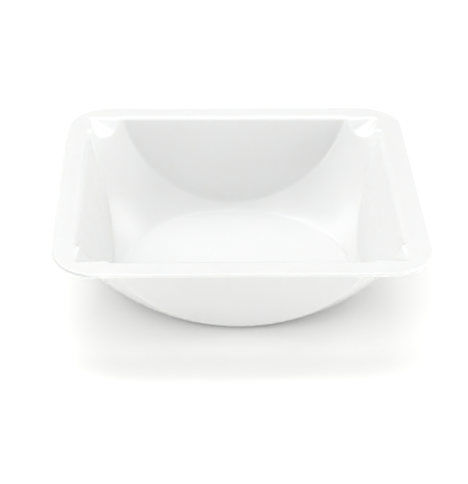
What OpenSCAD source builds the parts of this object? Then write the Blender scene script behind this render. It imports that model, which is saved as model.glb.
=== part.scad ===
// Square weighing boat: one piece of thin sheet, vacuum formed over a mould.
// A flat square rim with a turned-down edge surrounds a dish. The dish is part
// of a ball: a flat round base, a round bowl above it, four flat sloping walls
// that slice the bowl, and a flared pouring groove in each corner.
// Z is up, the base rests on z = 0, and the dish is centred on the Z axis.

/* [Rim] */
// Outer width of the square rim
rim_w = 88.8; // [86:0.2:96]
// Plan radius of the rim's outer corners
corner_r = 11; // [9:0.5:13]
// Outside radius of the bend that turns the rim's edge down
edge_r = 0.55; // [0.55:0.05:1.0]
// Depth of the turned-down edge, from the top of the rim
lip_h = 1.1; // [1.1:0.1:2.0]

/* [Dish] */
// Height of the rim's top face above the underside of the base
height = 23.8; // [22:0.2:26]
// Thickness of the sheet
sheet = 0.4; // [0.3:0.05:0.5]
// Inside radius of the ball that shapes the bowl
bowl_r = 53.2; // [52.6:0.1:54]
// Radius of the flat floor, before its edge is blended into the bowl
floor_r = 28.85; // [28:0.25:30]
// Radius of the blend between the floor and the bowl
floor_blend_r = 1.5; // [1:0.25:2.5]
// Half the distance between opposite walls, at the level of the rim
wall_half = 38.5; // [38:0.1:39]
// Slope of the walls away from upright, in degrees
wall_draft = 18.4; // [17:0.2:20]
// Radius of the bend between the dish and the rim
mouth_r = 1.4; // [1.2:0.1:2]

/* [Pouring grooves] */
// Distance from the centre to the tip of a groove, in the corner of the rim
tip_out = 54.3; // [54:0.1:54.4]
// Fall of the groove's bottom towards the dish, in degrees
groove_fall = 24; // [23:0.5:25]
// Half the opening angle of the cone that shapes a groove, in degrees
groove_half = 40; // [39:0.5:41]

/* [Hidden] */
$fn = 144;

half = rim_w / 2;
// Height of the centre of the ball
ball_z = sheet + sqrt(bowl_r * bowl_r - floor_r * floor_r);

// The bend between a wall and the rim: the bend's axis, and the point where
// the wall becomes flat.
wall_bend_z = height - mouth_r * (1 - sin(wall_draft));
wall_bend_x = wall_half - (height - wall_bend_z) * tan(wall_draft);
bend_x = wall_bend_x + mouth_r * cos(wall_draft);
bend_z = height - mouth_r;

// The blend between the floor and the bowl.
blend_z = sheet + floor_blend_r;
blend_x = sqrt(pow(bowl_r - floor_blend_r, 2) - pow(ball_z - blend_z, 2));

over = 1;      // how far the hollow reaches past the rim's top face
reach = 70;    // half the size of the blocks that stand for a half-space
tip_up = 0.25; // height of a groove's tip above the rim's top face
groove_len = 11; // length of a groove's cone, which ends inside the dish
nip = 0.005;   // a bend's radius is this much over, so that it meets flat faces at a clean edge

// A point on the line from the ball's centre through (x, z), at distance d.
function along(x, z, d) = let (l = norm([x, z - ball_z]))
    [x * d / l, ball_z + (z - ball_z) * d / l];

// Section of the bowl for the surface that lies `off` outside the sheet's
// upper face, closed at the height `top`.
module bowl_section(off, top) {
    intersection() {
        union() {
            // under the ball's centre, down to the flat floor, a little over the
            // line where the ball starts
            polygon([[0, -2], [blend_x, -2], [blend_x + nip, blend_z], [0, ball_z]]);
            // the blend at the edge of the floor
            translate([blend_x, blend_z]) circle(r = floor_blend_r + off + nip);
            // the ball
            intersection() {
                translate([0, ball_z]) circle(r = bowl_r + off, $fn = 360);
                polygon([[0, ball_z], along(blend_x, blend_z, bowl_r + 20),
                         [reach + 20, ball_z]]);
            }
        }
        translate([0, sheet - off]) square([reach, top - sheet + off]);
    }
}

// Everything on the dish's side of one wall, with the wall's bend to the rim.
module wall_side(off, top) {
    x0 = wall_bend_x + off * cos(wall_draft);
    z0 = wall_bend_z - off * sin(wall_draft);
    rotate([90, 0, 0])
        linear_extrude(height = 2 * reach, center = true)
            difference() {
                polygon([[-reach, -2], [x0 - (z0 + 2) * tan(wall_draft), -2], [x0, z0],
                         [bend_x, bend_z], [bend_x, top], [-reach, top]]);
                translate([bend_x, bend_z]) circle(r = mouth_r - off + nip);
            }
}

module four_walls(off, top) {
    intersection() {
        wall_side(off, top);
        rotate([0, 0, 90]) wall_side(off, top);
        rotate([0, 0, 180]) wall_side(off, top);
        rotate([0, 0, 270]) wall_side(off, top);
    }
}

// One groove: a cone that widens from its tip towards the dish, with its lowest
// line falling at groove_fall. The tip stands a little above the rim, so that
// the groove's end is rounded where it meets the rim's top face.
module groove(off) {
    back = off / sin(groove_half);
    translate([tip_out + tip_up / tan(groove_fall), 0, height + tip_up])
        rotate([0, -(90 - (groove_half - groove_fall)), 0])
            translate([0, 0, -back])
                cylinder(r1 = 0, r2 = (groove_len + back) * tan(groove_half),
                         h = groove_len + back);
}

// The space inside the sheet's upper face (off = 0), or inside its lower face
// (off = sheet).
module dish_form(off, top) {
    intersection() {
        union() {
            rotate_extrude() bowl_section(off, top);
            for (a = [45 : 90 : 315])
                rotate([0, 0, a]) groove(off);
        }
        four_walls(off, top);
    }
}

// A square plate with round corners and a rounded upper edge.
module edged_plate(h2, rc, re, z0, z1) {
    h = z1 - z0;
    translate([0, 0, z0]) {
        for (a = [0 : 90 : 270])
            rotate([0, 0, a])
                translate([h2 - rc, h2 - rc, 0])
                    rotate_extrude()
                        union() {
                            square([rc - re, h]);
                            square([rc, h - re]);
                            translate([rc - re, h - re])
                                intersection() { circle(r = re); square(re); }
                        }
        for (a = [0, 90])
            rotate([0, 0, a])
                rotate([90, 0, 0])
                    linear_extrude(height = 2 * (h2 - rc), center = true)
                        union() {
                            translate([-(h2 - re), 0]) square([2 * (h2 - re), h]);
                            translate([-h2, 0]) square([2 * h2, h - re]);
                            for (m = [0, 1])
                                mirror([m, 0])
                                    translate([h2 - re, h - re])
                                        intersection() { circle(r = re); square(re); }
                        }
    }
}

module boat() {
    color("whitesmoke")
        difference() {
            union() {
                difference() {
                    edged_plate(half, corner_r, edge_r, height - lip_h, height);
                    edged_plate(half - sheet, corner_r - sheet, edge_r - sheet,
                                height - lip_h - 1, height - sheet);
                }
                dish_form(sheet, height - sheet);
            }
            dish_form(0, height + over);
        }
}

boat();
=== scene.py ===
import math

import bpy
import numpy as np
from mathutils import Matrix, Vector


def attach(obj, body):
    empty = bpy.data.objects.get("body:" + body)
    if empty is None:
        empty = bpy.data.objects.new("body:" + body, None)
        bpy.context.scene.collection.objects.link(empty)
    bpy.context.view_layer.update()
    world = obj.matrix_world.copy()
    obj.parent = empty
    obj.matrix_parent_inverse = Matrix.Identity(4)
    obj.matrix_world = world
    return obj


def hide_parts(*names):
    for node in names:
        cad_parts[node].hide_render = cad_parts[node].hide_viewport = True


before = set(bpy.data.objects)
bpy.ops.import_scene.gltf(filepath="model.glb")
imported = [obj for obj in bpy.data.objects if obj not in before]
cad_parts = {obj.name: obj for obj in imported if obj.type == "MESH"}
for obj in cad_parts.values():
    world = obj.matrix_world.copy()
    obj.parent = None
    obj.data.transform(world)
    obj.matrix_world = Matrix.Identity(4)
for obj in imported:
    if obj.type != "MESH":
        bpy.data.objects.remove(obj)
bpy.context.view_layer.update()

# ---------------------------------------------------------------------------
# The formed sheet, in millimetres, as in the CAD model.
# ---------------------------------------------------------------------------
HALF = 44.4                      # half the rim's outer width
RC = 11.0                        # plan radius of the rim's outer corners
RE = 0.9                         # the edge's section starts from a contour this far inside the rim
LIP = 1.1                        # depth of the turned-down edge
H = 23.8                         # top of the rim
T = 0.4                          # thickness of the sheet
S = 53.2                         # inside radius of the ball
FLOOR_R = 28.85                  # the flat floor
ZC = T + math.sqrt(S * S - FLOOR_R * FLOOR_R)
A0 = 38.5                        # half the distance between walls, at the rim
DRAFT = math.radians(18.4)
TIP = 54.3                       # a groove's tip, from the middle
TIP_UP = 0.25                    # the cone's apex stands this much above the rim
FALL = math.radians(24.0)        # fall of a groove's lowest line
HALF_CONE = math.radians(40.0)   # half the opening angle of a groove's cone
MOUTH_R = 1.4                    # bend between dish and rim
RIDGE_R = 0.5                    # ridge between a groove and the bowl
CREASE_R = 1.0                   # valley between the bowl and a wall
FLOOR_BLEND = 1.5                # valley between floor and bowl

# ---------------------------------------------------------------------------
# Height of the sheet's upper face over one quarter of the boat, on a fine grid.
# Bends are made as a ball rolled over the height field.
# ---------------------------------------------------------------------------
STEP = 0.125
N = int(round(47.0 / STEP)) + 1
PAD = 24                         # cells past each mirror plane
ax = (np.arange(-PAD, N) * STEP)
X, Y = np.meshgrid(np.abs(ax), np.abs(ax), indexing="ij")


def ball_offsets(r):
    n = int(r / STEP)
    out = []
    for i in range(-n, n + 1):
        for j in range(-n, n + 1):
            q = r * r - (i * i + j * j) * STEP * STEP
            if q >= 0:
                out.append((i, j, math.sqrt(q)))
    return out


def shifted(z, i, j):
    """z moved by (i, j) cells, with the edge cells repeated."""
    a = np.clip(np.arange(z.shape[0]) + i, 0, z.shape[0] - 1)
    b = np.clip(np.arange(z.shape[1]) + j, 0, z.shape[1] - 1)
    return z[a][:, b]


def erode(z, r):
    out = np.full_like(z, np.inf)
    for i, j, b in ball_offsets(r):
        np.minimum(out, shifted(z, i, j) - b, out=out)
    return out


def dilate(z, r):
    out = np.full_like(z, -np.inf)
    for i, j, b in ball_offsets(r):
        np.maximum(out, shifted(z, i, j) + b, out=out)
    return out


def round_ridges(z, r):
    return dilate(erode(z, r), r)


def round_valleys(z, r):
    return erode(dilate(z, r), r)


def settled(z):
    """A light blur, which takes the grid's own steps out of the bends."""
    k = np.array([0.06, 0.24, 0.4, 0.24, 0.06])
    for axis in (0, 1):
        q = np.moveaxis(z, axis, 0)
        q = np.concatenate([q[:1], q[:1], q, q[-1:], q[-1:]])
        z = np.moveaxis(sum(k[i] * q[i:len(q) - 4 + i] for i in range(5)), 0, axis)
    return z


def groove_z():
    """Lower face of the cones that shape the four grooves."""
    d, w = (X + Y) / math.sqrt(2), (X - Y) / math.sqrt(2)
    u = TIP + TIP_UP / math.tan(FALL) - d
    rise = HALF_CONE - FALL
    ca2, cb, sb = math.cos(HALF_CONE) ** 2, math.cos(rise), math.sin(rise)
    k = ca2 - sb * sb
    q = (u * cb * sb) ** 2 + k * ((u * cb) ** 2 - ca2 * (u * u + w * w))
    z = H + TIP_UP + (u * cb * sb - np.sqrt(np.clip(q, 0, None))) / k
    return np.where((q > 0) & (u > 0) & (d > 40), z, 99.0)


def heights():
    bowl = ZC - np.sqrt(np.clip(S * S - X * X - Y * Y, 1.0, None))
    walls = np.maximum(H - (A0 - X) / math.tan(DRAFT), H - (A0 - Y) / math.tan(DRAFT))
    top = H + 3.0
    bowl = round_valleys(np.maximum(np.minimum(bowl, top), T), FLOOR_BLEND)
    bowl = round_ridges(np.minimum(bowl, np.minimum(groove_z(), top)), RIDGE_R)
    dish = round_valleys(np.maximum(bowl, walls), CREASE_R)
    dish = np.minimum(dish, H)
    soft = round_ridges(dish, MOUTH_R)
    crisp = round_ridges(dish, RIDGE_R)
    t = np.clip((H - 0.8 - crisp) / 1.8, 0, 1)
    return settled(soft + (crisp - soft) * t * t * (3 - 2 * t))


Z = heights()


def top_z(x, y):
    """The upper face's height over any plan point, read between the grid's four nearest cells."""
    u = np.abs(x) / STEP + PAD
    v = np.abs(y) / STEP + PAD
    i = np.clip(u.astype(int), 0, Z.shape[0] - 2)
    j = np.clip(v.astype(int), 0, Z.shape[1] - 2)
    fu, fv = u - i, v - j
    return (Z[i, j] * (1 - fu) * (1 - fv) + Z[i + 1, j] * fu * (1 - fv)
            + Z[i, j + 1] * (1 - fu) * fv + Z[i + 1, j + 1] * fu * fv)


# ---------------------------------------------------------------------------
# The mesh: columns run from the middle of the floor out to the rim, and rows
# crowd where the sheet bends.
# ---------------------------------------------------------------------------
def contour(theta, half, rc):
    """Where the ray at theta leaves a square with round corners, and the outward normal there."""
    c, s = np.cos(theta), np.sin(theta)
    ac, as_ = np.abs(c), np.abs(s)
    k = half - rc
    big, small = np.maximum(ac, as_), np.minimum(ac, as_)
    rho = half / big
    side = rho * small <= k
    b = k * (ac + as_)
    rr = b + np.sqrt(np.clip(b * b - 2 * k * k + rc * rc, 0, None))
    rho = np.where(side, rho, rr)
    px, py = rho * c, rho * s
    nx = np.where(side, np.where(ac >= as_, np.sign(c), 0.0), (px - np.sign(c) * k) / rc)
    ny = np.where(side, np.where(ac >= as_, 0.0, np.sign(s)), (py - np.sign(s) * k) / rc)
    return px, py, nx, ny, rho


def column_angles():
    eighth = np.concatenate([np.linspace(0, 34, 22)[:-1], np.linspace(34, 38, 9)[:-1], np.linspace(38, 45, 31)])
    quarter = np.concatenate([eighth, 90 - eighth[-2::-1]])[:-1]
    return np.radians(np.concatenate([quarter + 90 * q for q in range(4)]))


theta = column_angles()
NC = len(theta)
ROWS = 100
INSET = 0.7                      # the grid's last row lies this far inside that contour
tx, ty, tnx, tny, erho = contour(theta, HALF - RE - INSET, RC - RE - INSET)

fine = np.linspace(0, 1, 3000)
rho = np.outer(erho, fine)
zz = top_z(rho * np.cos(theta)[:, None], rho * np.sin(theta)[:, None])
dz = np.gradient(zz, axis=1) / np.gradient(rho, axis=1)
slope = np.arctan(dz)
ds = np.hypot(np.diff(rho, axis=1), np.diff(zz, axis=1))
turn = np.abs(np.diff(slope, axis=1))
mid = 0.5 * (rho[:, 1:] + rho[:, :-1])
weight = ds * np.where(mid < FLOOR_R - 3, 0.12, 1.0) + 9.0 * turn
# the weights are evened out between neighbouring columns, so that rows stay smooth
for _ in range(3):
    weight = 0.25 * np.roll(weight, 1, 0) + 0.5 * weight + 0.25 * np.roll(weight, -1, 0)
cum = np.concatenate([np.zeros((NC, 1)), np.cumsum(weight, axis=1)], axis=1)
cum /= cum[:, -1:]
want = np.linspace(0, 1, ROWS + 1)[1:]
RHO = np.stack([np.interp(want, cum[k], rho[k]) for k in range(NC)])       # (NC, ROWS)
TX, TY = RHO * np.cos(theta)[:, None], RHO * np.sin(theta)[:, None]
TZ = top_z(TX, TY)


def grid_normals(px, py, pz):
    """Unit normals of a grid of points that closes round the columns."""
    p = np.stack([px, py, pz], -1)
    a = np.roll(p, -1, 0) - np.roll(p, 1, 0)
    b = np.empty_like(p)
    b[:, 1:-1] = p[:, 2:] - p[:, :-2]
    b[:, 0] = p[:, 1] - p[:, 0]
    b[:, -1] = p[:, -1] - p[:, -2]
    n = np.cross(b, a)
    n /= np.linalg.norm(n, axis=-1, keepdims=True)
    return np.where(n[..., 2:3] < 0, -n, n)


NRM = grid_normals(TX, TY, TZ)
NRM[:, -1] = (0, 0, 1)
NRM[:, 0] = (0, 0, 1)

rows = [(TX[:, r], TY[:, r], TZ[:, r]) for r in range(ROWS)]


def arc(cx, cz, r, a0, a1, n):
    """n points of an arc, angles measured from straight up towards the outside."""
    a = np.radians(np.linspace(a0, a1, n))
    return [(cx + r * math.sin(t), cz + r * math.cos(t)) for t in a]


# Section of the turned-down edge, as (distance outside the contour HALF - RE, height):
# a small bend, a skirt that leans in a little and a rounded cut edge. The sheet was cut
# a little to the left of true, which leaves a narrow flange of width w at the skirt's
# foot there.
EDGE_R = 0.06                    # outside radius of that bend
LEAN = 0.22                      # how far the skirt leans in over its depth


def edge_section(w):
    s = RE - w                   # where the skirt stands
    q = min(1.0, w / 0.15)       # 1 where there is a flange, 0 where there is none
    er = EDGE_R

    def lean(h):
        return -LEAN * (1 - q) * (h - er) / (LIP - er)

    foot = s - 0.28 * q          # the skirt leans in over the flange
    return ([(-0.5, H), (s - er - 0.06, H)] + arc(s - er, H - er, er, 0, 90, 9)
            + [(s - 0.02 * q + lean(er + 0.06), H - er - 0.06), (foot + lean(0.72), H - 0.72),
               (foot + 0.03 * q + lean(0.80), H - 0.80), (foot + 0.20 * q + lean(0.83), H - 0.83),
               (RE - 0.10 * q + lean(0.86), H - 0.86), (RE - 0.03 * q + lean(0.90), H - 0.90),
               (RE + lean(0.95), H - 0.95)]
            + arc(RE - 0.04 + lean(LIP), H - LIP + 0.04, 0.04, 90, 180, 3)
            + [(s - T + 0.05 + lean(LIP), H - LIP), (s - T + lean(LIP), H - LIP + 0.06), (s - T, H - T - 0.25)]
            + arc(s - T - 0.15, H - T - 0.15, 0.15, 90, 0, 4) + [(s - T - 0.17, H - T)])


wide = np.clip(-tnx, 0, 1)       # tnx, tny: outward normal of the rim's outline
SECTION = np.array([edge_section(w) for w in wide])       # (NC, points, 2)
for k in range(SECTION.shape[1]):
    o = INSET + SECTION[:, k, 0]
    rows.append((tx + o * tnx, ty + o * tny, SECTION[:, k, 1]))
# the lower face, one sheet thickness below the upper one
under = [r for r in range(ROWS - 1, -1, -1)]
under = [r for r in under if r % 4 != 2 or r == ROWS - 1]
for r in under:
    rows.append((TX[:, r] - T * NRM[:, r, 0], TY[:, r] - T * NRM[:, r, 1], TZ[:, r] - T * NRM[:, r, 2]))

NR = len(rows)
co = np.stack([np.stack(r, -1) for r in rows], 0)         # (NR, NC, 3)
verts = np.concatenate([[[0, 0, T]], co.reshape(-1, 3), [[0, 0, 0]]]) * 0.001
first, last = 0, len(verts) - 1
faces = []
j = np.arange(NC)
jn = (j + 1) % NC
for a, b in zip(j, jn):
    faces.append((first, 1 + a, 1 + b))
quads = []
for r in range(NR - 1):
    a = 1 + r * NC
    b = a + NC
    quads.append(np.stack([a + j, b + j, b + jn, a + jn], 1))
quads = np.concatenate(quads)
tail = 1 + (NR - 1) * NC
caps2 = [(last, tail + b, tail + a) for a, b in zip(j, jn)]
mesh = bpy.data.meshes.new("boat_sheet")
mesh.from_pydata(verts.tolist(), [], faces + quads.tolist() + caps2)
mesh.validate()
mesh.polygons.foreach_set("use_smooth", np.ones(len(mesh.polygons), bool))
mesh.update()
boat = bpy.data.objects.new("boat_sheet", mesh)
bpy.context.scene.collection.objects.link(boat)
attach(boat, "root")
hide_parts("boat")
print("boat mesh:", NC, "columns", NR, "rows", sum(len(p.vertices) - 2 for p in mesh.polygons), "triangles")

# ---------------------------------------------------------------------------
# Material: thin white polystyrene sheet, half glossy, lets some light through.
# ---------------------------------------------------------------------------
mat = bpy.data.materials.new("boat_polystyrene")
mat.use_nodes = True
nt = mat.node_tree
bs = nt.nodes["Principled BSDF"]
bs.inputs["Subsurface Weight"].default_value = 1.0
bs.inputs["Subsurface Radius"].default_value = (1.0, 1.0, 0.9)
bs.inputs["Subsurface Scale"].default_value = 0.0003
bs.inputs["IOR"].default_value = 1.55
geo = nt.nodes.new("ShaderNodeTexCoord")


def noise(scale, detail, rough, name):
    n = nt.nodes.new("ShaderNodeTexNoise")
    n.name = name
    n.inputs["Scale"].default_value = scale
    n.inputs["Detail"].default_value = detail
    n.inputs["Roughness"].default_value = rough
    nt.links.new(geo.outputs["Object"], n.inputs["Vector"])
    return n


def remap(src, lo, hi, a, b):
    m = nt.nodes.new("ShaderNodeMapRange")
    m.inputs["From Min"].default_value = lo
    m.inputs["From Max"].default_value = hi
    m.inputs["To Min"].default_value = a
    m.inputs["To Max"].default_value = b
    nt.links.new(src, m.inputs["Value"])
    return m.outputs["Result"]


cloud = noise(35.0, 2.0, 0.5, "cloud")
ramp = nt.nodes.new("ShaderNodeMix")
ramp.data_type = "RGBA"
ramp.inputs[6].default_value = (0.772, 0.776, 0.775, 1)
ramp.inputs[7].default_value = (0.787, 0.791, 0.791, 1)
nt.links.new(remap(cloud.outputs["Fac"], 0.3, 0.7, 0.0, 1.0), ramp.inputs[0])
nt.links.new(ramp.outputs[2], bs.inputs["Base Color"])
grain = noise(500.0, 2.0, 0.5, "grain")
nt.links.new(remap(grain.outputs["Fac"], 0.3, 0.7, 0.18, 0.22), bs.inputs["Roughness"])
wave = noise(160.0, 1.0, 0.5, "wave")
bump = nt.nodes.new("ShaderNodeBump")
bump.inputs["Strength"].default_value = 0.02
bump.inputs["Distance"].default_value = 0.0002
nt.links.new(wave.outputs["Fac"], bump.inputs["Height"])
nt.links.new(bump.outputs["Normal"], bs.inputs["Normal"])
mesh.materials.append(mat)

# ---------------------------------------------------------------------------
# Floor, light and camera.
# ---------------------------------------------------------------------------
fm = bpy.data.meshes.new("floor")
fm.from_pydata([(-3, -3, -0.00004), (3, -3, -0.00004), (3, 3, -0.00004), (-3, 3, -0.00004)], [], [(0, 1, 2, 3)])
floor = bpy.data.objects.new("floor", fm)
bpy.context.scene.collection.objects.link(floor)
fmat = bpy.data.materials.new("floor_paper")
fmat.use_nodes = True
fb = fmat.node_tree.nodes["Principled BSDF"]
fb.inputs["Base Color"].default_value = (0.96, 0.96, 0.95, 1)
fb.inputs["Roughness"].default_value = 0.9
fb.inputs["Specular IOR Level"].default_value = 0.1
fm.materials.append(fmat)

world = bpy.data.worlds.new("studio")
bpy.context.scene.world = world
world.use_nodes = True
bg = world.node_tree.nodes["Background"]
bg.inputs["Color"].default_value = (1, 1, 1, 1)
bg.inputs["Strength"].default_value = 0.19


def soft_box(name, elevation, azimuth, width, height, watts, colour=(1, 1, 1)):
    """A soft box one metre from the boat, facing it. The azimuth is measured from +X towards +Y."""
    e, a = math.radians(elevation), math.radians(azimuth)
    out = Vector((math.cos(e) * math.cos(a), math.cos(e) * math.sin(a), math.sin(e)))
    d = bpy.data.lights.new(name, "AREA")
    d.shape = "RECTANGLE"
    d.size, d.size_y = width, height
    d.energy = watts
    d.color = colour
    o = bpy.data.objects.new(name, d)
    bpy.context.scene.collection.objects.link(o)
    o.location = out
    o.rotation_mode = "QUATERNION"
    o.rotation_quaternion = (-out).to_track_quat("-Z", "Y")
    return o


# A soft tent: large boxes nearly overhead, above the back and above the front, weaker ones all round.
soft_box("overhead", 81, 90, 0.8, 0.38, 1.9)
soft_box("top_back", 68, 90, 1.2, 0.4, 3.45)
soft_box("top_back_left", 55, 130, 0.5, 0.5, 1.05)
soft_box("high_front", 62, 270, 1.2, 0.5, 2.4)
soft_box("front", 35, 270, 1.2, 0.4, 1.15)
soft_box("mid_front_left", 33, 225, 0.6, 0.4, 1.5)
soft_box("mid_right", 33, 0, 0.9, 0.4, 0.8)
soft_box("mid_back_right", 33, 45, 0.6, 0.4, 1.55)
soft_box("mid_back_left", 33, 135, 0.6, 0.4, 1.15)
soft_box("mid_left", 33, 180, 0.9, 0.4, 0.35)
soft_box("low_left", 10, 180, 0.9, 0.3, 2.1)
soft_box("low_right", 10, 0, 0.9, 0.3, 1.8)
soft_box("low_front_left", 10, 225, 0.7, 0.3, 0.75)
soft_box("low_front_right", 10, 315, 0.7, 0.3, 2.1)

C = Vector((-0.011995, -0.377473, 0.219679))
yaw, pitch, roll = 0.0302 - 0.000293, 0.5130 - 0.000293, 0.0107
fwd = Vector((math.sin(yaw) * math.cos(pitch), math.cos(yaw) * math.cos(pitch), -math.sin(pitch)))
r0 = Vector((math.cos(yaw), -math.sin(yaw), 0))
u0 = r0.cross(fwd)
right = math.cos(roll) * r0 + math.sin(roll) * u0
up = -math.sin(roll) * r0 + math.cos(roll) * u0
cd = bpy.data.cameras.new("camera")
cam = bpy.data.objects.new("camera", cd)
bpy.context.scene.collection.objects.link(cam)
cd.sensor_width = 36.0
cd.lens = 1709.55 / 484 * 36.0
cd.clip_start, cd.clip_end = 0.01, 20
m = Matrix((right, up, -fwd)).transposed().to_4x4()
m.translation = C
cam.matrix_world = m
bpy.context.scene.camera = cam
bpy.context.scene.view_settings.view_transform = "Standard"
bpy.context.scene.view_settings.look = "None"
